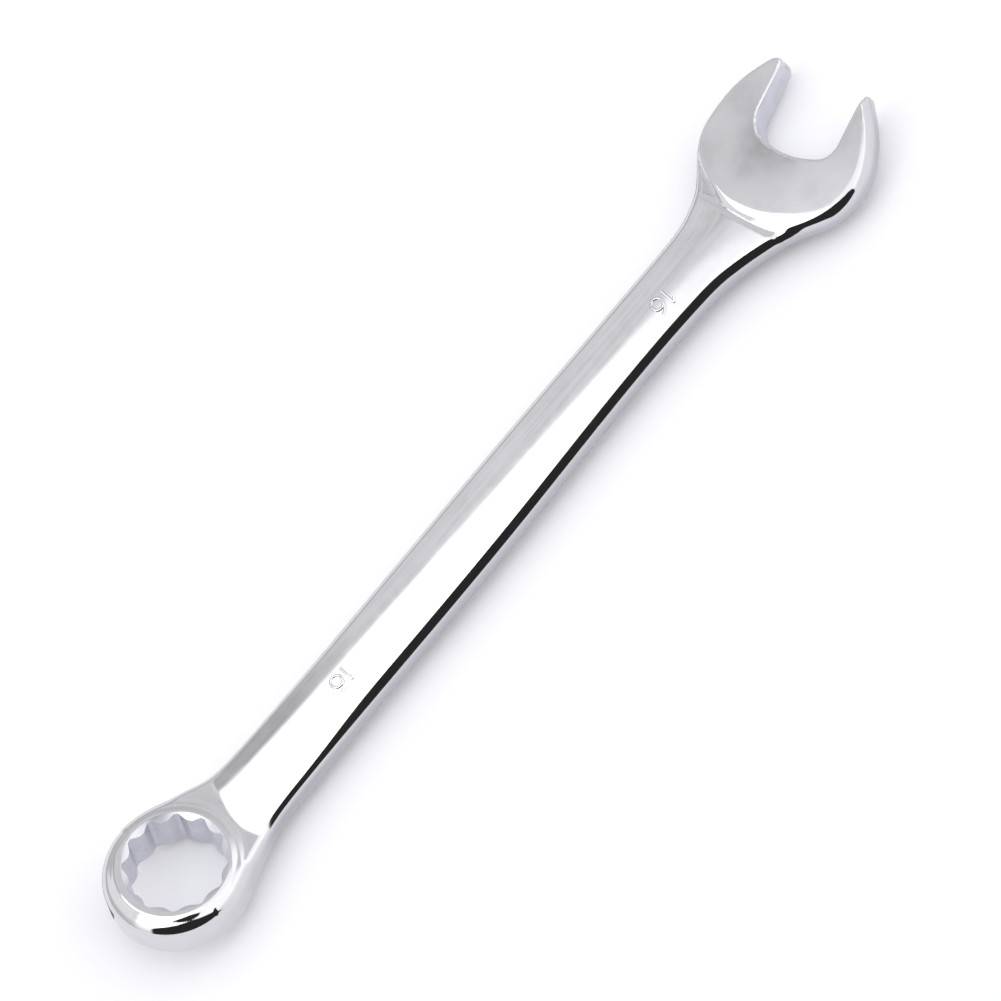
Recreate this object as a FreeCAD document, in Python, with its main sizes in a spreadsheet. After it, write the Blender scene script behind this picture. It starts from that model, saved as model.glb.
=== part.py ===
import FreeCAD, Part
import math
import os
import Sketcher

# Combination wrench, 16 mm, 190 mm long: one drop forging, cut here into its forged sections,
# which meet face to face. +X runs along the shank to the open end, +Z is up, and the origin is
# the middle of the bounding box's underside. Millimetres and degrees throughout.

V = FreeCAD.Vector

DIMS = {
    # the shank's mid-plane above the lowest point, and its axis off the box's middle
    "mid_z": 4.772,
    "axis_y": 0.261,
    # shank: a bar with crowned faces, a little wider at the ring end
    "shank_ring_x": -47.914,
    "shank_jaw_x": 49.086,
    "shank_ring_half": 6.75,
    "shank_jaw_half": 6.25,
    "bar_wall": 1.2,
    "bar_shoulder": 2.68,
    "bar_edge_run": 1.31,
    "bar_edge_r": 1.52,
    "bar_crown_r": 42.0,
    # ring end: centre, rise above the shank, lean and section
    "ring_x": -81.514,
    "ring_rise": 2.55,
    "ring_tilt": 15.0,
    "ring_r": 12.9,
    "ring_half": 4.7,
    "ring_wall_half": 2.9,
    "ring_shoulder_r": 12.3,
    "ring_shoulder_half": 3.7,
    "ring_face_r": 10.9,
    "ring_lead_r": 10.0,
    "ring_edge_r": 0.8,
    # twelve-point bore for a 16 mm hexagon
    "bore_r": 8.45,
    "bore_lead_half": 3.3,
    "point_r": 9.3,
    "point_side_x": 8.0,
    "point_side_y": 2.2,
    "points": 12,
    # ring-end neck
    "ring_neck_mid_x": -62.814,
    "ring_neck_mid_half": 7.3,
    "ring_neck_flare_x": -69.314,
    "ring_neck_flare_half": 8.8,
    "ring_neck_end_x": -75.814,
    "ring_neck_end_half": 10.6,
    # open end: centre of the jaws, the jaws' lean, thickness and gap
    "jaw_x": 80.586,
    "jaw_angle": 15.0,
    "jaw_height": 6.7,
    "jaw_edge_r": 0.6,
    "gap_half": 8.075,
    "throat_p": -0.34,
    "throat_r": 15.0,
    "throat_corner_r": 2.4,
    "tip_p": 12.1,
    "tip_left_q": 9.9,
    "tip_right_q": 9.5,
    "tip_edge_r": 0.62,
    "flank_r": 22.0,
    "waist_p": 5.0,
    "waist_left_q": 16.0,
    "waist_right_q": 15.2,
    "back_r": 16.3,
    # open-end neck
    "jaw_neck_mid_x": 56.286,
    "jaw_neck_mid_half": 6.85,
    "jaw_neck_flare_x": 63.286,
    "jaw_neck_flare_half": 9.1,
    "jaw_neck_end_x": 69.286,
    "jaw_neck_end_half": 12.1,
    "land_wall": 1.0,
    "land_shoulder": 2.3,
    "neck_crown_r": 150.0,
    # raised size numerals: a plain 1 and a plain 6, read from the ring side
    "numeral_turn": 180.0,
    "numeral_seat": 2.8,
    "numeral_depth": 0.5,
    "numeral_half": 1.7,
    "stroke_half": 0.28,
    "flag_x": 0.85,
    "flag_low": 0.6,
    "flag_top": 1.1,
    "bowl_y": 0.6,
    "bowl_r": 1.1,
    "bowl_inner_r": 0.55,
    "tail_x": 0.75,
    "tail_low": 1.15,
    "tail_r": 2.6,
    "tail_inner_r": 2.2,
    "jaw_one_x": 46.586,
    "jaw_six_x": 44.186,
    "ring_one_x": -37.514,
    "ring_six_x": -39.914,
}


def dimension_sheet(doc):
    sheet = doc.addObject("Spreadsheet::Sheet", "Dims")
    for row, (alias, value) in enumerate(DIMS.items(), 1):
        sheet.set(f"A{row}", alias)
        sheet.set(f"B{row}", str(value))
        sheet.setAlias(f"B{row}", alias)
    return sheet


def term(text):
    """The value and the spreadsheet expression of a sum of dimensions such as "-half + run"."""
    if text == "0":
        return 0.0, "0"
    value = 0.0
    sign = 1
    words = []
    for word in text.split():
        if word in "+-":
            sign = -1 if word == "-" else 1
            words.append(word)
            continue
        name = word.lstrip("-")
        value += (-sign if word != name else sign) * DIMS[name]
        words.append(word.replace(name, f"Dims.{name}"))
    return value, " ".join(words)


def new_body(doc, name, x, y, z, axis=V(0, 0, 1), angle=None):
    """A body placed by spreadsheet expressions."""
    body = doc.addObject("PartDesign::Body", name)
    body.Label = name
    body.Placement = FreeCAD.Placement(V(0, 0, 0), FreeCAD.Rotation(axis, 10.0 if angle else 0.0))
    body.setExpression("Placement.Base.x", x)
    body.setExpression("Placement.Base.y", y)
    body.setExpression("Placement.Base.z", z)
    if angle:
        body.setExpression("Placement.Rotation.Angle", angle)
    return body


def new_sketch(body, name, plane, offset=None):
    """A sketch on one of the body's origin planes, moved along its normal by a dimension."""
    sketch = body.newObject("Sketcher::SketchObject", name)
    role = [f for f in body.Origin.OriginFeatures if f.Role == plane][0]
    sketch.AttachmentSupport = [(role, "")]
    sketch.MapMode = "FlatFace"
    if offset:
        sketch.setExpression("AttachmentOffset.Base.z", term(offset)[1])
    return sketch


def arc_between(start, end, radius):
    """The short arc from start to end, bulging to the right of the way it runs, and whether it
    runs counter-clockwise. A negative radius bulges to the left."""
    chord = end - start
    side = V(chord.y, -chord.x, 0).normalize() * (1 if radius > 0 else -1)
    reach = abs(radius)
    sagitta = reach - math.sqrt(reach**2 - (chord.Length / 2) ** 2)
    return Part.Arc(start, (start + end) * 0.5 + side * sagitta, end), radius > 0


def outline(sketch, corners, arcs=None):
    """A closed outline through corners given by dimension names, straight from corner to corner
    or, where arcs names a radius for the edge that leaves a corner, round."""
    arcs = arcs or {}
    points = [V(term(x)[0], term(y)[0], 0) for x, y in corners]
    ends = []
    for i, start in enumerate(points):
        end = points[(i + 1) % len(points)]
        if i in arcs:
            curve, forward = arc_between(start, end, term(arcs[i])[0])
            index = sketch.addGeometry(curve, False)
        else:
            forward = True
            index = sketch.addGeometry(Part.LineSegment(start, end), False)
        ends.append((index, 1 if forward else 2, 2 if forward else 1))
    for i, (index, first, last) in enumerate(ends):
        after, after_first, _ = ends[(i + 1) % len(ends)]
        sketch.addConstraint(Sketcher.Constraint("Coincident", index, last, after, after_first))
    for i, (index, first, _) in enumerate(ends):
        for kind, text in zip(("DistanceX", "DistanceY"), corners[i]):
            value, expression = term(text)
            if text == "0":
                on_axis = -2 if kind == "DistanceX" else -1
                sketch.addConstraint(Sketcher.Constraint("PointOnObject", index, first, on_axis))
                continue
            at = sketch.addConstraint(Sketcher.Constraint(kind, -1, 1, index, first, value))
            sketch.setExpression(f"Constraints[{at}]", expression)
    for i, name in arcs.items():
        at = sketch.addConstraint(Sketcher.Constraint("Radius", ends[i][0], abs(term(name)[0])))
        sketch.setExpression(f"Constraints[{at}]", f"Dims.{name.lstrip('-')}")


def circle(sketch, radius, x="0", y="0"):
    centre = V(term(x)[0], term(y)[0], 0)
    index = sketch.addGeometry(Part.Circle(centre, V(0, 0, 1), term(radius)[0]), False)
    at = sketch.addConstraint(Sketcher.Constraint("Radius", index, term(radius)[0]))
    sketch.setExpression(f"Constraints[{at}]", term(radius)[1])
    for kind, text in (("DistanceX", x), ("DistanceY", y)):
        value, expression = term(text)
        if text == "0":
            on_axis = -2 if kind == "DistanceX" else -1
            sketch.addConstraint(Sketcher.Constraint("PointOnObject", index, 3, on_axis))
            continue
        at = sketch.addConstraint(Sketcher.Constraint(kind, -1, 1, index, 3, value))
        sketch.setExpression(f"Constraints[{at}]", expression)


def bar_section(body, x, half, wall, shoulder, crown_r):
    """A crowned bar's section: flat side walls, rounded edges, bowed top and bottom. wall and
    shoulder are the heights above the mid-plane at which the edge rounding starts and ends."""
    sketch = new_sketch(body, "Section", "YZ_Plane", x)
    crown = f"{half} - bar_edge_run"
    crown_left = f"-{half} + bar_edge_run"
    outline(sketch, [
        (half, f"-{wall}"), (half, wall), (crown, shoulder), (crown_left, shoulder),
        (f"-{half}", wall), (f"-{half}", f"-{wall}"), (crown_left, f"-{shoulder}"),
        (crown, f"-{shoulder}"),
    ], {1: "bar_edge_r", 2: crown_r, 3: "bar_edge_r", 5: "bar_edge_r", 6: crown_r, 7: "bar_edge_r"})
    return sketch


def round_edges(doc, body, radius, wanted):
    """Rounds the edges of the body's tip that the test picks out."""
    doc.recompute()
    base = body.Tip
    names = [f"Edge{i}" for i, edge in enumerate(base.Shape.Edges, 1) if wanted(edge)]
    fillet = body.newObject("PartDesign::Fillet", "Rounding")
    fillet.Base = (base, names)
    fillet.setExpression("Radius", f"Dims.{radius}")
    doc.recompute()


def bar(doc, name, sections):
    """A length of the forging lofted through crowned sections."""
    body = new_body(doc, name, "0", "Dims.axis_y", "Dims.mid_z")
    sketches = [bar_section(body, *section) for section in sections]
    loft = body.newObject("PartDesign::AdditiveLoft", "Loft")
    loft.Profile = sketches[0]
    loft.Sections = sketches[1:]
    return body


def shank(doc):
    """The straight bar between the two necks."""
    return bar(doc, "shank", [
        ("shank_ring_x", "shank_ring_half", "bar_wall", "bar_shoulder", "bar_crown_r"),
        ("shank_jaw_x", "shank_jaw_half", "bar_wall", "bar_shoulder", "bar_crown_r"),
    ])


def ring_head(doc):
    """The raised, leaning ring with its twelve-point bore, led in by a cone at either face."""
    body = new_body(doc, "ring_head", "Dims.ring_x", "Dims.axis_y", "Dims.mid_z + Dims.ring_rise",
                    V(0, 1, 0), "Dims.ring_tilt")
    section = new_sketch(body, "RingSection", "XZ_Plane")
    upper = [("ring_r", "ring_wall_half"), ("ring_shoulder_r", "ring_shoulder_half"),
             ("ring_face_r", "ring_half"), ("ring_lead_r", "ring_half"),
             ("bore_r", "bore_lead_half")]
    lower = [(r, f"-{h}") for r, h in reversed(upper)]
    outline(section, upper + lower)
    turn = body.newObject("PartDesign::Revolution", "Ring")
    turn.Profile = section
    turn.ReferenceAxis = (section, ["V_Axis"])
    turn.Angle = 360.0
    doc.recompute()

    def outer_edge(edge):
        curve = edge.Curve
        return hasattr(curve, "Radius") and curve.Radius > DIMS["ring_face_r"] - 0.01

    round_edges(doc, body, "ring_edge_r", outer_edge)
    notch = new_sketch(body, "Point", "XY_Plane")
    outline(notch, [("point_side_x", "-point_side_y"), ("point_r", "0"),
                    ("point_side_x", "point_side_y")])
    pocket = body.newObject("PartDesign::Pocket", "PointCut")
    pocket.Profile = notch
    pocket.SideType = "Symmetric"
    pocket.Type = "ThroughAll"
    points = body.newObject("PartDesign::PolarPattern", "Points")
    points.Originals = [pocket]
    points.Axis = (notch, ["N_Axis"])
    points.Angle = 360.0
    points.setExpression("Occurrences", "Dims.points")
    body.Tip = points
    doc.recompute()
    return body


def ring_blank(doc):
    """The ring's outside as a plain disc: what the ring-end neck stops against."""
    disc = doc.addObject("Part::Cylinder", "RingBlank")
    disc.setExpression("Radius", "Dims.ring_r")
    disc.setExpression("Height", "2 * Dims.ring_half")
    lean = "Dims.ring_tilt * 1 deg"
    disc.Placement = FreeCAD.Placement(V(0, 0, 0), FreeCAD.Rotation(V(0, 1, 0), 10.0))
    disc.setExpression("Placement.Base.x", f"Dims.ring_x - Dims.ring_half * sin({lean})")
    disc.setExpression("Placement.Base.y", "Dims.axis_y")
    rise = f"Dims.mid_z + Dims.ring_rise - Dims.ring_half * cos({lean})"
    disc.setExpression("Placement.Base.z", rise)
    disc.setExpression("Placement.Rotation.Angle", "Dims.ring_tilt")
    return disc


def less(doc, name, base, tool):
    """The base with the tool cut away."""
    cut = doc.addObject("Part::Cut", name)
    cut.Label = name
    cut.Base = base
    cut.Tool = tool
    return cut


def ring_neck(doc):
    """The flare from the shank to the ring, cut to the ring's outside."""
    flare = bar(doc, "RingFlare", [
        ("ring_neck_end_x", "ring_neck_end_half", "bar_wall", "bar_shoulder", "neck_crown_r"),
        ("ring_neck_flare_x", "ring_neck_flare_half", "bar_wall", "bar_shoulder", "neck_crown_r"),
        ("ring_neck_mid_x", "ring_neck_mid_half", "bar_wall", "bar_shoulder", "bar_crown_r"),
        ("shank_ring_x", "shank_ring_half", "bar_wall", "bar_shoulder", "bar_crown_r"),
    ])
    return less(doc, "ring_neck", flare, ring_blank(doc))


def jaw_head(doc):
    """The open end: a rounded plate with two parallel jaws, turned to the left."""
    body = new_body(doc, "jaw_head", "Dims.jaw_x", "Dims.axis_y", "Dims.mid_z",
                    V(0, 0, 1), "Dims.jaw_angle")
    plan = new_sketch(body, "JawPlan", "XY_Plane")
    corners = [("throat_p", "-gap_half"), ("tip_p", "-gap_half"), ("tip_p", "-tip_right_q"),
               ("-waist_p", "-waist_right_q"), ("-waist_p", "waist_left_q"),
               ("tip_p", "tip_left_q"), ("tip_p", "gap_half"), ("throat_p", "gap_half")]
    corners.reverse()
    arcs = {2: "flank_r", 3: "back_r", 4: "flank_r", 7: "-throat_r"}
    outline(plan, corners, arcs)
    pad = body.newObject("PartDesign::Pad", "JawPlate")
    pad.Profile = plan
    pad.SideType = "Symmetric"
    pad.setExpression("Length", "Dims.jaw_height")
    doc.recompute()

    def upright_at(reach):
        def wanted(edge):
            ends = [vertex.Point for vertex in edge.Vertexes]
            upright = len(ends) == 2 and abs(ends[0].z - ends[1].z) > 1
            return upright and abs(ends[0].x - reach) < 0.01
        return wanted

    round_edges(doc, body, "tip_edge_r", upright_at(DIMS["tip_p"]))
    round_edges(doc, body, "throat_corner_r", upright_at(DIMS["throat_p"]))

    def face_edge(edge):
        heights = [vertex.Point.z for vertex in edge.Vertexes]
        return max(heights) - min(heights) < 0.01

    round_edges(doc, body, "jaw_edge_r", face_edge)
    return body


def jaw_neck(doc, head):
    """The flare from the shank to the open end, thinner than the jaws it runs into."""
    flare = bar(doc, "JawFlare", [
        ("shank_jaw_x", "shank_jaw_half", "bar_wall", "bar_shoulder", "bar_crown_r"),
        ("jaw_neck_mid_x", "jaw_neck_mid_half", "bar_wall", "bar_shoulder", "bar_crown_r"),
        ("jaw_neck_flare_x", "jaw_neck_flare_half", "land_wall", "land_shoulder", "neck_crown_r"),
        ("jaw_neck_end_x", "jaw_neck_end_half", "land_wall", "land_shoulder", "neck_crown_r"),
    ])
    return less(doc, "jaw_neck", flare, head)


def raise_sketch(body, sketch):
    pad = body.newObject("PartDesign::Pad", "Raise")
    pad.Profile = sketch
    pad.setExpression("Length", "Dims.numeral_depth")


def numeral_body(doc, name, x):
    return new_body(doc, name, f"Dims.{x}", "Dims.axis_y", "Dims.mid_z + Dims.numeral_seat",
                    V(0, 0, 1), "Dims.numeral_turn")


def numeral_one(doc, name, x, seat):
    """A raised 1 standing on the crowned face it is cut to."""
    body = numeral_body(doc, name + "_blank", x)
    sketch = new_sketch(body, "One", "XY_Plane")
    outline(sketch, [
        ("-stroke_half", "-numeral_half"), ("stroke_half", "-numeral_half"),
        ("stroke_half", "numeral_half"), ("-stroke_half", "numeral_half"),
        ("-flag_x", "flag_top"), ("-flag_x", "flag_low"), ("-stroke_half", "flag_top"),
    ])
    raise_sketch(body, sketch)
    return less(doc, name, body, seat)


def numeral_six(doc, name, x, seat):
    """A raised 6, a round bowl with a curved tail, cut to the face it stands on."""
    body = numeral_body(doc, name + "_blank", x)
    bowl = new_sketch(body, "Bowl", "XY_Plane")
    circle(bowl, "bowl_r", "0", "-bowl_y")
    circle(bowl, "bowl_inner_r", "0", "-bowl_y")
    raise_sketch(body, bowl)
    tail = new_sketch(body, "Tail", "XY_Plane")
    outline(tail, [
        ("-bowl_r", "-bowl_y"), ("-bowl_inner_r", "-bowl_y"), ("tail_x", "tail_low"),
        ("tail_x", "numeral_half"),
    ], {1: "-tail_inner_r", 3: "tail_r"})
    raise_sketch(body, tail)
    return less(doc, name, body, seat)


PARTS = "parts"


def export(nodes):
    """Checks every sub-part and writes it to its own STEP file."""
    os.makedirs(PARTS, exist_ok=True)
    for node in nodes:
        if "Invalid" in node.State or "Error" in node.State:
            raise RuntimeError(f"{node.Label} did not compute: {node.State}")
        if node.Shape.isNull() or not node.Shape.isValid():
            raise RuntimeError(f"{node.Label} has no valid shape")
        node.Shape.exportStep(f"{PARTS}/{node.Label}.step")


doc = FreeCAD.newDocument("combination_wrench")
dimension_sheet(doc)
doc.recompute()
handle = shank(doc)
jaws = jaw_head(doc)
nodes = [
    handle,
    ring_head(doc),
    ring_neck(doc),
    jaws,
    jaw_neck(doc, jaws),
    numeral_one(doc, "jaw_size_one", "jaw_one_x", handle),
    numeral_six(doc, "jaw_size_six", "jaw_six_x", handle),
    numeral_one(doc, "ring_size_one", "ring_one_x", handle),
    numeral_six(doc, "ring_size_six", "ring_six_x", handle),
]
doc.recompute()
export(nodes)
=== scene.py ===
import math

import bpy
import numpy as np
from mathutils import Matrix, Vector


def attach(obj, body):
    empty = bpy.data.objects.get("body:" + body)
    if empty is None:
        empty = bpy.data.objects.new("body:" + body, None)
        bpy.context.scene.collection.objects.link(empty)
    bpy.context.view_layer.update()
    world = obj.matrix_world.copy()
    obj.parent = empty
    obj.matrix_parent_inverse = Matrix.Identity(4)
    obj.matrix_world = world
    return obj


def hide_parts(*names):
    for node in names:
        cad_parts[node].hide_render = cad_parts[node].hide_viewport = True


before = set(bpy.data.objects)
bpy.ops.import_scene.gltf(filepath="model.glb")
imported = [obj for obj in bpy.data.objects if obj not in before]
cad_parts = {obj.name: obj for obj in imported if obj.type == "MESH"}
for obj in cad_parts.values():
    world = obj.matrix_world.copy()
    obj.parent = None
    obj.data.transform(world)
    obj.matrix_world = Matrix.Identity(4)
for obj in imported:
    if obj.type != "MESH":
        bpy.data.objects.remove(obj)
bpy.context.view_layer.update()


# ---- Forging -------------------------------------------------------------------------------
# One piece of chrome-vanadium steel, drop-forged with its open end, its crowned shank and its
# ring, then linished all over. The blank is roughed out of simple solids and pressed to the
# die's surface, which the functions here give in millimetres about the shank's middle.
MM = 0.001
SHANK_MIDDLE = np.array((2.086, 0.261, 4.772))
JAW_CENTRE = (78.5, 0.0)
JAW_TURN = math.radians(15.0)
OUTLINE_MIDDLE = (-2.2, -0.1)
RING_CENTRE = (-83.6, 0.0, 2.55)
RING_TILT = math.radians(15.0)
RING_RADIUS, RING_HALF = 12.5, 4.55
CROWN_TOP, CROWN_FALL = 3.05, 0.48
LAND_TOP = 2.42
DISC_TOP, DISC_DOME = 3.38, 1100
GAP_HALF, THROAT_RADIUS, THROAT_MIDDLE = 8.075, 14.9, 12.5


class Curve:
    """A smooth curve through a few stations: a natural cubic spline."""

    def __init__(self, stations, closed=None):
        at, value = np.array(stations, float).T
        if closed:
            at = np.concatenate((at[-3:] - closed, at, at[:3] + closed))
            value = np.concatenate((value[-3:], value, value[:3]))
        self.at, self.value, self.closed = at, value, closed
        gap = np.diff(at)
        rows, right = np.eye(len(at)), np.zeros(len(at))
        for i in range(1, len(at) - 1):
            rows[i, i - 1:i + 2] = gap[i - 1], 2 * (gap[i - 1] + gap[i]), gap[i]
            right[i] = 6 * ((value[i + 1] - value[i]) / gap[i] - (value[i] - value[i - 1]) / gap[i - 1])
        self.bend = np.linalg.solve(rows, right)

    def __call__(self, t):
        if self.closed:
            t = self.at[3] + np.mod(t - self.at[3], self.closed)
        t = np.clip(t, self.at[0], self.at[-1])
        i = np.clip(np.searchsorted(self.at, t) - 1, 0, len(self.at) - 2)
        gap = self.at[i + 1] - self.at[i]
        a, b = (self.at[i + 1] - t) / gap, (t - self.at[i]) / gap
        sag = ((a**3 - a) * self.bend[i] + (b**3 - b) * self.bend[i + 1]) * gap * gap / 6
        return a * self.value[i] + b * self.value[i + 1] + sag


# Half widths of the shank, which flares into both ends, on its left and on its right.
LEFT_FLANK = Curve((
    (-90, 11.6), (-80, 11.4), (-75, 10.1), (-72, 9.1), (-68.5, 7.95), (-65, 7.35), (-60, 7.05),
    (-50, 6.85), (0, 6.75), (47.5, 6.35), (53, 6.4), (56, 6.7), (58.5, 7.4), (61, 8.45), (64, 10.5),
    (66.5, 12.2), (69.3, 13.3), (73, 13.9), (80, 14.2)))
RIGHT_FLANK = Curve((
    (-90, 11.6), (-80, 11.2), (-75, 9.8), (-72, 8.8), (-68.5, 7.75), (-65, 7.2), (-60, 6.95),
    (-50, 6.85), (0, 6.85), (47.5, 6.55), (53, 7.1), (56, 7.8), (58.5, 8.5), (61, 9.3), (64, 10.4),
    (66.5, 11.6), (69.3, 12.9), (73, 13.8), (80, 14.2)))
# The open end's outline, the back edge of its raised face and the rounding of its rim, each
# against the angle in degrees about the middle of the outline.
OUTLINE = Curve((
    (20, 18.6), (29, 18.2), (36, 17.7), (42, 17.25), (52, 16.75), (66, 16.25), (80, 16.0),
    (95, 16.25), (110, 16.3), (127, 15.4), (140, 14.8), (153, 14.5), (170, 14.0), (187, 13.6),
    (202, 13.6), (220, 14.2), (238, 14.9), (255, 15.3), (270, 15.5), (290, 15.45), (305, 15.6),
    (318, 16.0), (329, 16.8), (336, 17.7), (350, 18.8)), closed=360)
RAISED = Curve((
    (40, 19.0), (70, 17.5), (95, 16.6), (110, 15.8), (126, 14.6), (139, 13.9), (153, 13.8),
    (170, 13.3), (187, 12.9), (202, 12.8), (219, 13.3), (238, 14.3), (255, 14.6), (280, 14.3),
    (310, 14.6), (335, 16.0)), closed=360)
EDGE = Curve((
    (60, 0.9), (120, 0.9), (160, 1.5), (220, 2.2), (260, 2.4), (300, 2.2), (335, 1.2)), closed=360)


def eased(t):
    """From nought to one, level at both ends."""
    t = np.clip(t, 0, 1)
    return t * t * t * (t * (6 * t - 15) + 10)


def ramp_up(t, turn):
    """Nothing below nought and t above it, turning over within the given length of nought."""
    return np.where(t > turn, t, np.clip(t + turn, 0, None) ** 2 / (4 * turn))


def higher(a, b, turn):
    """The higher of a and b, with a fillet where they cross."""
    return b + ramp_up(a - b, turn)


def rounded(a, b, radius):
    """Inside both a and b, with the edge between them rounded."""
    corner = np.hypot(np.maximum(a + radius, 0), np.maximum(b + radius, 0))
    return np.minimum(np.maximum(a, b), -radius) + corner


def blended(a, b, radius):
    """Inside either a or b, with a fillet where they meet."""
    fillet = np.hypot(np.maximum(radius - a, 0), np.maximum(radius - b, 0))
    return np.maximum(np.minimum(a, b), radius) - fillet


def shank_side(x, y):
    """How far outside the shank's flanks a point lies in plan, and the half width there."""
    half = np.where(y > 0, LEFT_FLANK(x), RIGHT_FLANK(x))
    step = 0.05
    ahead = np.where(y > 0, LEFT_FLANK(x + step), RIGHT_FLANK(x + step))
    side = (np.abs(y) - half) / np.hypot(1, (ahead - half) / step)
    ring_end, jaw_end = -84, 74
    return np.maximum(side, np.maximum(ring_end - x, x - jaw_end)), half


def jaw_plan(x, y):
    """Along and across the open end, and the polar place about the middle of its outline."""
    dx, dy = x - JAW_CENTRE[0], y - JAW_CENTRE[1]
    p = dx * math.cos(JAW_TURN) + dy * math.sin(JAW_TURN)
    q = dy * math.cos(JAW_TURN) - dx * math.sin(JAW_TURN)
    away, aside = p - OUTLINE_MIDDLE[0], q - OUTLINE_MIDDLE[1]
    return p, q, np.hypot(away, aside), np.degrees(np.arctan2(aside, away))


def gap_inside(p, q):
    """Below nought in the 16 mm gap: two parallel flats and a shallow round throat."""
    from_middle = np.where(p < THROAT_MIDDLE, np.hypot(p - THROAT_MIDDLE, q), np.abs(q))
    return rounded(np.abs(q) - GAP_HALF, from_middle - THROAT_RADIUS, np.where(q > 0, 2.5, 1.9))


def ring_side(x, y, z):
    """The ring's own height and radius, about an axis that leans back over the shank.

    The ring is forged a little longer than it is wide."""
    dx, dz = x - RING_CENTRE[0], z - RING_CENTRE[2]
    across = dx * math.cos(RING_TILT) - dz * math.sin(RING_TILT)
    height = dx * math.sin(RING_TILT) + dz * math.cos(RING_TILT)
    off_centre, stretch = 0.45, 1.035
    return height, np.hypot((across + off_centre) / stretch, y)


def die(points):
    """The die's surface: below nought in the steel."""
    x, y, z = points.T
    side, half = shank_side(x, y)
    p, q, radius, angle = jaw_plan(x, y)

    # In plan: the flared flanks and the open end's outline, cut off at the tips, less the gap.
    rim = OUTLINE(angle)
    slant = (OUTLINE(angle + 1) - rim) / math.radians(1) / 15
    out = (radius - rim) / np.hypot(1, slant)
    out = rounded(out, p - np.where(q > 0, 12.8, 14.5), 1.1)
    tip = eased((p - 9.0) / 3.0)
    in_gap = -gap_inside(p, q)
    outer = blended(side, out, 0.8)
    plan = rounded(outer, in_gap, np.where(q > 0, 1.0 + 0.6 * tip, 0.7))

    # The crown steps down to a low land, out of which the open end's face rises.
    crown = CROWN_TOP - CROWN_FALL * np.minimum(np.abs(y) / half, 1.1) ** 2
    neck = crown - 0.5 * ramp_up(x + 0.17 * y - 62.0, 0.4)
    back = eased((75 - np.abs(np.mod(angle, 360) - 200)) / 45)
    fall = ramp_up(radius - RAISED(angle) + 0.2 + 0.4 * back, 0.3 + 1.1 * back)
    disc = DISC_TOP - radius**2 / DISC_DOME - (1.1 - 0.55 * back) * fall
    face = higher(higher(neck, LAND_TOP, 0.3), disc, 0.2)
    face = crown + (face - crown) * eased((x - 48) / 8)

    # A web climbs from the crown to the ring, on the upper face alone.
    web = 6.45 - (x - RING_CENTRE[0]) * math.tan(RING_TILT) + 0.35 * eased((y + 6) / 10)
    face = np.where((z > 0) & (x < -55), higher(crown, web, 0.15), face)

    # The edges' rounding: wider towards the open end and at its back, and tight along the gap.
    thin = eased((x + 60) / 25)
    edge = np.where(y > 0, 1.5 + 0.4 * thin, 1.3 + 0.95 * thin)
    edge = edge + (EDGE(angle) - edge) * eased((x - 60) / 8)
    edge = edge + (0.45 + 0.35 * tip - edge) * eased(0.5 + (in_gap - outer) / 2)
    body = rounded(plan, np.abs(z) - face, edge)

    # The ring has a low lip round its hole and a shallow groove outside the lip.
    height, across = ring_side(x, y, z)
    lip = 0.10 * np.exp(-((across - 9.75) / 0.5) ** 2)
    groove = 0.08 * np.exp(-((across - 10.85) / 0.38) ** 2)
    top = np.abs(height) - RING_HALF - lip + groove
    ring = rounded(across - RING_RADIUS, top, np.where(height > 0, 3.1, 1.9))
    return blended(body, ring, 0.9)


def steepest(points, step=0.01):
    """The way straight out of the die's surface, and how fast it rises."""
    ways = np.eye(3) * step
    return np.stack([(die(points + way) - die(points - way)) / (2 * step) for way in ways], 1)


def press(mesh):
    """Moves a mesh's points onto the die's surface."""
    flat = np.empty(len(mesh.vertices) * 3)
    mesh.vertices.foreach_get("co", flat)
    points = flat.reshape(-1, 3) / MM - SHANK_MIDDLE
    longest = 0.5
    for _ in range(8):
        slope = steepest(points)
        reach = die(points) / np.maximum((slope**2).sum(1), 0.2)
        points = points - np.clip(reach, -longest, longest)[:, None] * slope
    mesh.vertices.foreach_set("co", ((points + SHANK_MIDDLE) * MM).ravel())
    mesh.update()


def place(x, y, z):
    """Where a place on the die lies in the scene, in metres."""
    return tuple((np.array((x, y, z)) + SHANK_MIDDLE) * MM)


def in_jaw(p, q, z):
    return place(JAW_CENTRE[0] + p * math.cos(JAW_TURN) - q * math.sin(JAW_TURN),
                 JAW_CENTRE[1] + p * math.sin(JAW_TURN) + q * math.cos(JAW_TURN), z)


def in_ring(a, b, height):
    return place(RING_CENTRE[0] + a * math.cos(RING_TILT) + height * math.sin(RING_TILT),
                 RING_CENTRE[1] + b,
                 RING_CENTRE[2] - a * math.sin(RING_TILT) + height * math.cos(RING_TILT))


def only(piece):
    bpy.ops.object.select_all(action="DESELECT")
    piece.select_set(True)
    bpy.context.view_layer.objects.active = piece


def cutter(name, loops, finish=None):
    """A closed solid through loops of equally many points."""
    count = len(loops[0])
    faces = []
    for low in range(0, (len(loops) - 1) * count, count):
        high = low + count
        faces += [(low + i, low + (i + 1) % count, high + (i + 1) % count, high + i) for i in range(count)]
    faces.append(tuple(range(count))[::-1])
    faces.append(tuple((len(loops) - 1) * count + i for i in range(count)))
    mesh = bpy.data.meshes.new(name)
    mesh.from_pydata([point for loop in loops for point in loop], [], faces)
    if finish:
        mesh.materials.append(finish)
    tool = bpy.data.objects.new(name, mesh)
    bpy.context.scene.collection.objects.link(tool)
    only(tool)
    bpy.ops.object.mode_set(mode="EDIT")
    bpy.ops.mesh.select_all(action="SELECT")
    bpy.ops.mesh.normals_make_consistent(inside=False)
    bpy.ops.object.mode_set(mode="OBJECT")
    return tool


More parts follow.
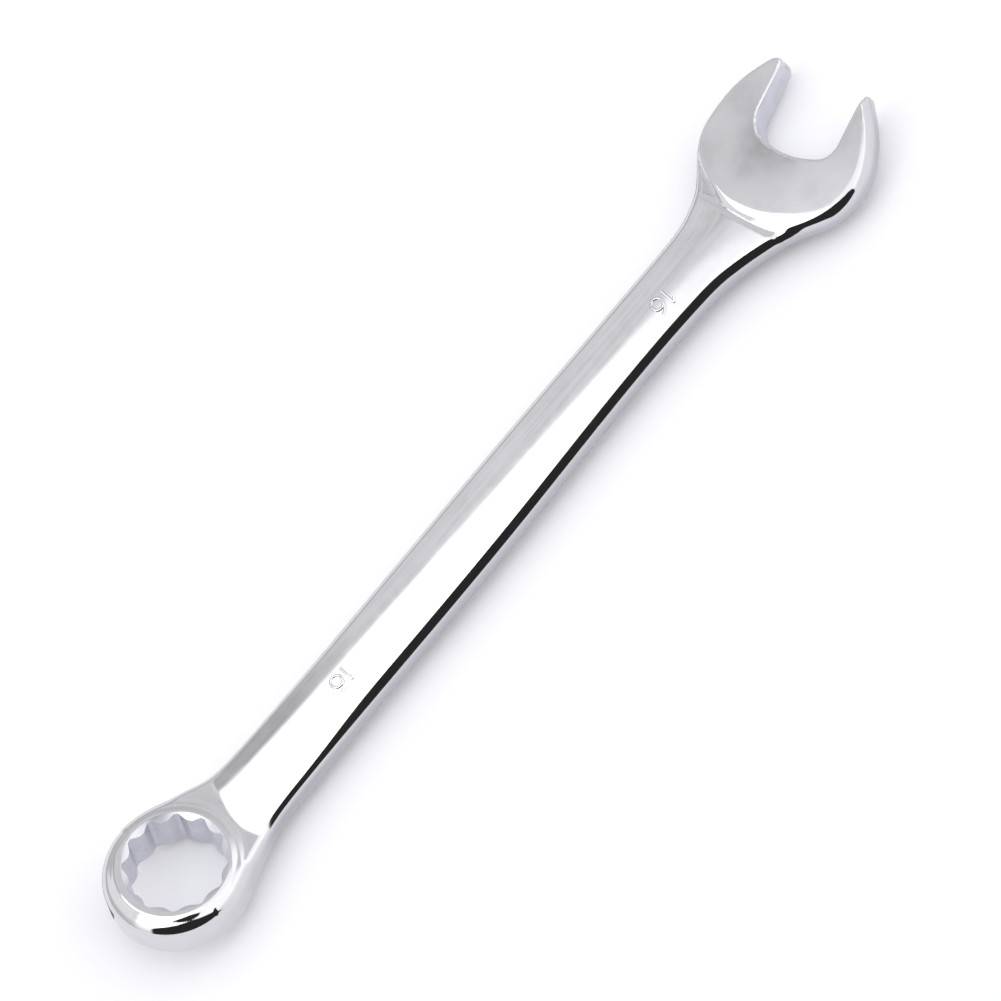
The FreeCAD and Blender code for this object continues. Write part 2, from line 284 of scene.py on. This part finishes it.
def cut(piece, tool):
    only(piece)
    boolean = piece.modifiers.new("cut", "BOOLEAN")
    boolean.operation = "DIFFERENCE"
    boolean.solver = "EXACT"
    boolean.material_mode = "TRANSFER"
    boolean.object = tool
    bpy.ops.object.modifier_apply(modifier=boolean.name)
    bpy.data.objects.remove(tool)


def round_lump(radius, depth, location, sides=96, lean=0.0):
    bpy.ops.mesh.primitive_cylinder_add(vertices=sides, radius=radius * MM, depth=depth * MM,
                                        location=location, rotation=(0, lean, 0))
    return bpy.context.object


def joined(*lumps):
    only(lumps[0])
    for lump in lumps:
        lump.select_set(True)
    bpy.ops.object.join()
    return lumps[0]


bpy.ops.object.select_all(action="DESELECT")
plate = round_lump(15.5, 6.6, place(76.2, -0.4, 0))
for p, q, radius in ((10.4, 9.7, 1.5), (11.3, 9.3, 1.1), (10.4, -9.1, 1.1), (11.6, -8.8, 0.65)):
    plate = joined(plate, round_lump(radius, 6.0, in_jaw(p, q, 0), sides=32))
mouth_half, mouth_end = 7.9, 22
mouth = [(THROAT_MIDDLE - math.sqrt(THROAT_RADIUS**2 - q * q), q)
         for q in np.linspace(-mouth_half, mouth_half, 25)]
mouth += [(mouth_end, mouth_half), (mouth_end, -mouth_half)]
cut(plate, cutter("mouth", [[in_jaw(p, q, height) for p, q in mouth] for height in (6, -6)]))
bpy.ops.mesh.primitive_cube_add(size=1, location=place(-4, 0, 0), scale=(152 * MM, 13.4 * MM, 5.8 * MM))
shank = bpy.context.object
hoop = round_lump(12.5, 9.2, place(-83.9, 0, 2.55), lean=RING_TILT)
ring_web = round_lump(9.0, 4.8, place(-72, 0, 0))
jaw_web = round_lump(10.5, 4.8, place(67, 0, 0))
wrench = joined(plate, shank, hoop, ring_web, jaw_web)
wrench.name = "forging"
bpy.ops.object.transform_apply(location=True, rotation=True, scale=True)

for grain in (0.5 * MM, 0.33 * MM):
    remesh = wrench.modifiers.new("remesh", "REMESH")
    remesh.mode = "VOXEL"
    remesh.voxel_size = grain
    bpy.ops.object.modifier_apply(modifier=remesh.name)
    press(wrench.data)
for _ in range(2):
    relax = wrench.modifiers.new("relax", "SMOOTH")
    relax.iterations = 3
    bpy.ops.object.modifier_apply(modifier=relax.name)
    press(wrench.data)
bpy.ops.object.shade_smooth()


# ---- Chrome plate --------------------------------------------------------------------------
# Nickel and bright chrome over the linished steel. The open faces are polished, with fine hair
# lines and a faint orange-peel wave. A band about the parting line on the shank and the open end
# is darkened with painted shade. The flats, the throat and the broached hole stay satin.
class Socket:
    """A shader value that takes Python's operators."""

    def __init__(self, tree, socket):
        self.tree, self.socket = tree, socket

    def node(self, kind, inputs=(), out=0, **settings):
        node = self.tree.nodes.new(kind)
        for key, value in settings.items():
            setattr(node, key, value)
        for key, value in dict(inputs).items():
            if isinstance(value, Socket):
                self.tree.links.new(value.socket, node.inputs[key])
            else:
                node.inputs[key].default_value = value
        return Socket(self.tree, node.outputs[out])

    def maths(self, operation, a, b=0.0):
        return self.node("ShaderNodeMath", {0: a, 1: b}, operation=operation)

    def __add__(self, other):
        return self.maths("ADD", self, other)

    def __radd__(self, other):
        return self.maths("ADD", other, self)

    def __sub__(self, other):
        return self.maths("SUBTRACT", self, other)

    def __rsub__(self, other):
        return self.maths("SUBTRACT", other, self)

    def __mul__(self, other):
        return self.maths("MULTIPLY", self, other)

    def __rmul__(self, other):
        return self.maths("MULTIPLY", other, self)

    def axis(self, index):
        return self.node("ShaderNodeSeparateXYZ", {0: self}, index)

    def ramp(self, low, high, start=0.0, end=1.0):
        return self.node("ShaderNodeMapRange", {0: self, 1: low, 2: high, 3: start, 4: end},
                         interpolation_type="SMOOTHSTEP")

    def mix(self, low, high):
        return self.node("ShaderNodeMix", {"Factor": self, 6: low, 7: high}, 2, data_type="RGBA")

    def stretched(self, x, y, z):
        return self.node("ShaderNodeMapping", {"Vector": self, "Scale": (x, y, z)})

    def noise(self, scale, detail=2.0):
        return self.node("ShaderNodeTexNoise", {"Vector": self, "Scale": scale, "Detail": detail})


def plated(name):
    material = bpy.data.materials.new(name)
    material.use_nodes = True
    tree = material.node_tree
    shader = tree.nodes["Principled BSDF"]
    shader.inputs["Metallic"].default_value = 1.0
    return material, shader, Socket(tree, tree.nodes.new("ShaderNodeTexCoord").outputs["Object"])


def finish_with(shader, colour, roughness, bump):
    links = colour.tree.links
    links.new(colour.socket, shader.inputs["Base Color"])
    links.new(roughness.socket, shader.inputs["Roughness"])
    links.new(bump.socket, shader.inputs["Normal"])


chrome, shader, spot = plated("bright chrome")
wave = spot.noise(150, 1.0)
hair = spot.stretched(60, 2600, 2600).noise(1.0, 3.0)
haze = spot.noise(420, 4.0)
above = spot.axis(2) - SHANK_MIDDLE[2] * MM
behind = spot.axis(0).ramp(-0.072, -0.064)
# Painted shade: the base colour darkens to grey in a band about the parting line, on the shank and the
# open end, where the walls would mirror the shade on the bench. The band is also a little rougher.
painted_parting_shade = above.maths("ABSOLUTE", above).ramp(0.6 * MM, 2.2 * MM, 1.0, 0.0) * behind
bright = haze.ramp(0.35, 0.7).mix((0.655, 0.648, 0.666, 1), (0.675, 0.668, 0.686, 1))
relief = {"Strength": 1.0, "Distance": 0.0035 * MM, "Height": wave + 0.06 * hair}
finish_with(shader,
            painted_parting_shade.mix(bright, (0.50, 0.495, 0.525, 1)),
            haze.ramp(0.4, 0.75, 0.045, 0.085) + hair.ramp(0.55, 0.8, 0.0, 0.03) + 0.08 * painted_parting_shade,
            spot.node("ShaderNodeBump", relief))

satin, shader, spot = plated("satin chrome")
cloud = spot.noise(300, 3.0)
drawn = spot.stretched(2400, 2400, 240).noise(1.0, 3.0)
finish_with(shader,
            cloud.ramp(0.3, 0.7).mix((0.60, 0.605, 0.655, 1), (0.67, 0.675, 0.72, 1)),
            cloud.ramp(0.3, 0.7, 0.27, 0.36) + drawn.ramp(0.5, 0.8, 0.0, 0.06),
            spot.node("ShaderNodeBump", {"Strength": 1.0, "Distance": 0.008 * MM, "Height": drawn}))


# ---- Twelve-point ring and jaw flats -------------------------------------------------------
# The hole is punched with a twelve-point broach, each ridge and each corner a little blunt, and
# countersunk lightly from both faces. The gap's two flats and its throat are broached as well.
wrench.data.materials.clear()
wrench.data.materials.append(chrome)
wrench.data.materials.append(satin)
POINTS, RIDGE, CORNER = 12, 8.42, 9.28
PITCH = 2 * math.pi / POINTS
BLUNT_RIDGE, BLUNT_CORNER = 0.06, 0.04
profile = ((PITCH / 2 - BLUNT_CORNER, CORNER), (PITCH / 2 + BLUNT_CORNER, CORNER),
           (PITCH - BLUNT_RIDGE, RIDGE), (PITCH + BLUNT_RIDGE, RIDGE))
star = [(r * math.cos(k * PITCH + t), r * math.sin(k * PITCH + t))
        for k in range(POINTS) for t, r in profile]
cut(wrench, cutter("broach", [[in_ring(a, b, height) for a, b in star] for height in (-8, 8)], satin))
circle = [(math.cos(t), math.sin(t)) for t in np.linspace(0, 2 * math.pi, 144, endpoint=False)]
sink = ((7.6, 3.55), (9.5, 4.64), (9.8, 4.85), (10.4, 6.5))
for face in (1, -1):
    loops = [[in_ring(r * a, r * b, face * height) for a, b in circle] for r, height in sink]
    cut(wrench, cutter("countersink", loops, satin))

# The struck faces, which lie on the die, take their normals from it. The walls of the gap, which
# are struck too, are then given the broach's satin.
only(wrench)
bpy.ops.object.shade_smooth_by_angle(angle=math.radians(28))
mesh = wrench.data


def read(rows, attribute, kind=float, width=1):
    values = np.empty(len(rows) * width, kind)
    rows.foreach_get(attribute, values)
    return values.reshape(-1, width) if width > 1 else values


corners = read(mesh.vertices, "co", width=3) / MM - SHANK_MIDDLE
middle = read(mesh.polygons, "center", width=3) / MM - SHANK_MIDDLE
finish = read(mesh.polygons, "material_index", int)
sides = read(mesh.polygons, "loop_total", int)
vertex = read(mesh.loops, "vertex_index", int)
normals = read(mesh.corner_normals, "vector", width=3)
struck = (finish == 0) & (np.abs(die(middle)) < 0.03)
outward = steepest(corners, 0.02)
outward /= np.linalg.norm(outward, axis=1)[:, None]
skin = np.repeat(struck, sides)
normals[skin] = outward[vertex][skin]
p, q = jaw_plan(middle[:, 0], middle[:, 1])[:2]
broached = struck & (np.abs(gap_inside(p, q)) < 0.12) & (p < 11.6) & (np.abs(middle[:, 2]) < 2.85)
finish[broached] = 1
mesh.polygons.foreach_set("material_index", finish)
mesh.normals_split_custom_set([tuple(normal) for normal in normals])

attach(wrench, "root")
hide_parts("shank", "ring_head", "ring_neck", "jaw_head", "jaw_neck")


# ---- Size marks ----------------------------------------------------------------------------
# The size in millimetres stands proud on both ends of the shank's upper face, struck by the die
# with the forging and polished with it, so its edges are soft.
STROKE = 0.32
TALL, BOWL = 3.2, 1.1
SEAT, SEAT_FALL = 2.94, 0.011


def bent(start, pull, end, t):
    """A point on the curve from start to end that leans towards pull."""
    return tuple(a * (1 - t)**2 + 2 * b * t * (1 - t) + c * t * t for a, b, c in zip(start, pull, end))


one = [(-0.75, 2.5), (-0.1, TALL), (0.0, 3.15), (0.0, 0.1)]
stem = [bent((0.8, TALL), (-0.75, 3.0), (-BOWL, BOWL), t) for t in np.linspace(0, 0.95, 9)]
bowl = [(BOWL * math.cos(t), BOWL + BOWL * math.sin(t)) for t in np.linspace(math.pi, 3 * math.pi, 25)]
for end, places in (("jaw", ((44.7, 0.75), (42.6, 0.75))), ("ring", ((-39.3, 1.7), (-41.4, 1.5)))):
    strokes = bpy.data.curves.new(end + "_size_mark", "CURVE")
    strokes.dimensions = "3D"
    strokes.bevel_depth = STROKE * MM
    strokes.bevel_resolution = 3
    strokes.use_fill_caps = True
    for digit, (across, foot) in zip((one, stem + bowl), places):
        line = strokes.splines.new("POLY")
        line.points.add(len(digit) - 1)
        for point, (a, b) in zip(line.points, digit):
            x, y = across - a, foot - b
            point.co = place(x, y, SEAT - SEAT_FALL * y * y) + (1,)
    mark = bpy.data.objects.new(end + "_size_mark", strokes)
    bpy.context.scene.collection.objects.link(mark)
    only(mark)
    bpy.ops.object.convert(target="MESH")
    bpy.ops.object.shade_smooth_by_angle(angle=math.radians(50))
    mark.data.materials.clear()
    mark.data.materials.append(chrome)
    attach(mark, "root")
    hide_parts(end + "_size_one", end + "_size_six")


# ---- Bench and light tent ------------------------------------------------------------------
# A white paper sweep inside a tent of white cloth, with a soft lamp overhead. A strip of the
# cloth is brighter on the right, and a black flag low on the right draws the dark line along each
# rounding. A dark card on the bench, seen only in reflections, is painted shade in place of the
# shade beside the wrench's left edge, and draws the thin line along that edge.
def matt(name, colour, roughness=0.9):
    material = bpy.data.materials.new(name)
    material.use_nodes = True
    shader = material.node_tree.nodes["Principled BSDF"]
    shader.inputs["Base Color"].default_value = colour
    shader.inputs["Roughness"].default_value = roughness
    return material, shader


def only_reflected(piece):
    piece.visible_diffuse = False
    piece.visible_shadow = False
    piece.visible_camera = False


bpy.ops.object.select_all(action="DESELECT")
bpy.ops.mesh.primitive_plane_add(size=6, location=(0, 0, -0.2 * MM))
floor = bpy.context.object
floor.name = "floor"
paper, shader = matt("paper", (0.91, 0.91, 0.945, 1))
shader.inputs["Emission Color"].default_value = (1, 1, 1, 1)
shader.inputs["Emission Strength"].default_value = 0.10
floor.data.materials.append(paper)

world = bpy.data.worlds.new("tent")
bpy.context.scene.world = world
world.use_nodes = True
tree = world.node_tree
sky = Socket(tree, tree.nodes.new("ShaderNodeTexCoord").outputs["Generated"])


def facing(*direction):
    way = tuple(Vector(direction).normalized())
    return sky.node("ShaderNodeVectorMath", {0: sky, 1: way}, 1, operation="DOT_PRODUCT")


def tinted(level):
    """The faintly violet white of the tent at a level of brightness."""
    parts = {0: level * 0.99, 1: level * 0.985, 2: level}
    return level.node("ShaderNodeCombineColor", parts)


WALL_LEVEL, FLAG_LEVEL = 1.5, 0.03
up = facing(0, 0, 1)
low, high = math.cos(math.radians(95)), math.cos(math.radians(62))
rise = facing(0, -0.5, 0.866).ramp(low, high, 0.70, 0.93)
wall = facing(0, -1, 0).ramp(-0.25, 0.0) * up.ramp(0.15, 0.55, 0.35, 1.0)
# The flag fills the quarter towards the ring and to the right, from the bench to near the top.
ringward = facing(0.966, 0.259, 0).ramp(-0.035, -0.005, 1.0, 0.0)
rightward = facing(-0.191, 0.982, 0).ramp(-0.08, 0.0, 1.0, 0.0)
flag = ringward * rightward * up.ramp(0.935, 0.970, 1.0, 0.0) * up.ramp(-0.12, -0.06)
level = (rise * (1 - wall) + wall * WALL_LEVEL) * (1 - flag) + flag * FLAG_LEVEL
tree.links.new(tinted(level).socket, tree.nodes["Background"].inputs["Color"])

bpy.ops.object.select_all(action="DESELECT")
bpy.ops.mesh.primitive_plane_add(size=1, location=(-0.1, 0.36, 0.4), scale=(0.8, 0.78, 1))
cloth = bpy.context.object
cloth.name = "cloth"
bpy.ops.object.transform_apply(location=True, rotation=True, scale=True)
glowing, shader = matt("glowing cloth", (0, 0, 0, 1), 0.5)
tree = glowing.node_tree
shader.inputs["Specular IOR Level"].default_value = 0
shader.inputs["Emission Strength"].default_value = 1.0
spot = Socket(tree, tree.nodes.new("ShaderNodeTexCoord").outputs["Object"])
along, away = spot.axis(0), spot.axis(1)
# The bright strip lies slantwise over the shank, softer towards the open end.
slant = away + 0.7 * along.maths("MAXIMUM", along, -0.075) - 0.207
strip = (slant * along.ramp(0.02, 0.08, 28.0, 9.0)).ramp(-0.5, 0.5, 1.0, 0.0)
strip = strip * (1 - (1 - along.ramp(-0.20, -0.10)) * away.ramp(0.06, 0.12))
# The plain cloth is creased. It is greyer towards the ring and over the open end, most of all
# where the throat's edge sees it, and bright again well beyond the ring.
seen_by_throat = {0: spot, 1: (0.0907, 0.200, 0.4)}
over_throat = spot.node("ShaderNodeVectorMath", seen_by_throat, 1, operation="DISTANCE")
folds = spot.noise(55, 1.0).ramp(0.35, 0.65, 0.90, 1.04) * over_throat.ramp(0.0, 0.026, 0.68, 1.0)
plain = along.ramp(-0.062, -0.034, 0.60, 0.94) - along.ramp(0.05, 0.075, 0.0, 0.07)
plain = (plain + along.ramp(-0.24, -0.11, 0.5, 0.0)) * folds
cloth_level = strip * along.ramp(0.0, 0.07, 2.4, 1.38) + (1 - strip) * plain
tree.links.new(tinted(cloth_level).socket, shader.inputs["Emission Color"])
cloth.data.materials.append(glowing)
only_reflected(cloth)


def round_end(x, y, radius, start, stop, count):
    return [(x + radius * math.cos(t), y + radius * math.sin(t))
            for t in np.radians(np.linspace(start, stop, count))]


def beside(ring_radius, off, jaw_radius):
    """A line on the bench along the left of the wrench and round both ends."""
    return (round_end(-84.05, 0, ring_radius, 150, 60, 11)
            + [(x, LEFT_FLANK(x) + off) for x in np.linspace(-66, 60, 15)]
            + round_end(76.2, -0.4, jaw_radius, 135, 80, 8))


# Painted shade: a dark card along the left of the wrench and round both ends, seen in reflections alone,
# stands in for the shade on the bench there.
BENCH = -4.7
near, far = beside(14.0, 0.8, 17.0), beside(23.0, 7.0, 24.0)
count = len(near)
board = bpy.data.meshes.new("card")
board.from_pydata([place(x, y, BENCH) for x, y in near + far], [],
                  [(i, i + 1, count + i + 1, count + i) for i in range(count - 1)])
board.materials.append(matt("painted shade card", (0.18, 0.18, 0.19, 1))[0])
card = bpy.data.objects.new("card", board)
bpy.context.scene.collection.objects.link(card)
only_reflected(card)

bpy.ops.object.light_add(type="AREA", location=(0, 0, 2.0))
fill = bpy.context.object
fill.name = "fill"
fill.data.size = 3.0
fill.data.energy = 11.0
fill.visible_glossy = False


# ---- Camera --------------------------------------------------------------------------------
# A long lens, well back from the bench. It leans 26 degrees off the vertical over the wrench's
# right-hand edge, and is rolled so that the shank climbs the frame at 50 degrees.
LEAN = math.radians(26.0)
ROLL = math.radians(50.1)
DISTANCE = 2.4
FRAME_WIDTH = 0.17004
aim = Vector((0.0021, 0.0003, 0.0048))
back = Vector((0.0, -math.sin(LEAN), math.cos(LEAN)))
along = Vector((1.0, 0.0, 0.0))
right = along * math.cos(ROLL) - back.cross(along) * math.sin(ROLL)
lens = bpy.data.cameras.new("view")
lens.sensor_width = 36.0
lens.lens = DISTANCE / FRAME_WIDTH * lens.sensor_width
lens.clip_end = 20.0
camera = bpy.data.objects.new("view", lens)
bpy.context.scene.collection.objects.link(camera)
stance = Matrix((right, back.cross(right), back)).transposed().to_4x4()
camera.matrix_world = Matrix.Translation(aim + back * DISTANCE) @ stance
bpy.context.scene.camera = camera
bpy.context.scene.view_settings.view_transform = "Standard"
